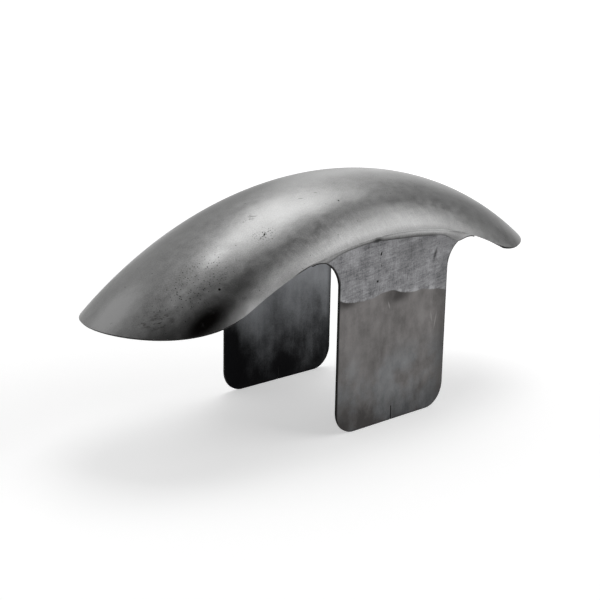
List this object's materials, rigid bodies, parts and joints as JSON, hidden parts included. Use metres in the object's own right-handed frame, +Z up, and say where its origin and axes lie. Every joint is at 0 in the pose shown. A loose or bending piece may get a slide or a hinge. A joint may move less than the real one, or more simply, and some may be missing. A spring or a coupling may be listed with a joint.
{
  "type": "motorcycle front fender",
  "caption": "Arched front wheel fender of bare sheet steel with a flat blank side plate welded under each edge, left undrilled for fitting to a fork.",
  "frame": {"origin": "under the middle of the whole part, level with the lower edges of the two side plates", "axes": "+Z up, +X along the fender towards its shorter end, +Y to the left across the wheel"},
  "size_m": [0.4578, 0.1442, 0.1995],
  "materials": {
    "shell_steel": "bare brushed sheet steel, satin",
    "plate_steel": "oily mill finish, ground bright along the seam",
    "weld_steel": "weld ground smooth"
  },
  "bodies": {
    "root": {"shell": "shell_steel", "plate_left": "plate_steel", "plate_right": "plate_steel", "weld_left": "weld_steel", "weld_right": "weld_steel"}
  },
  "joints": []
}
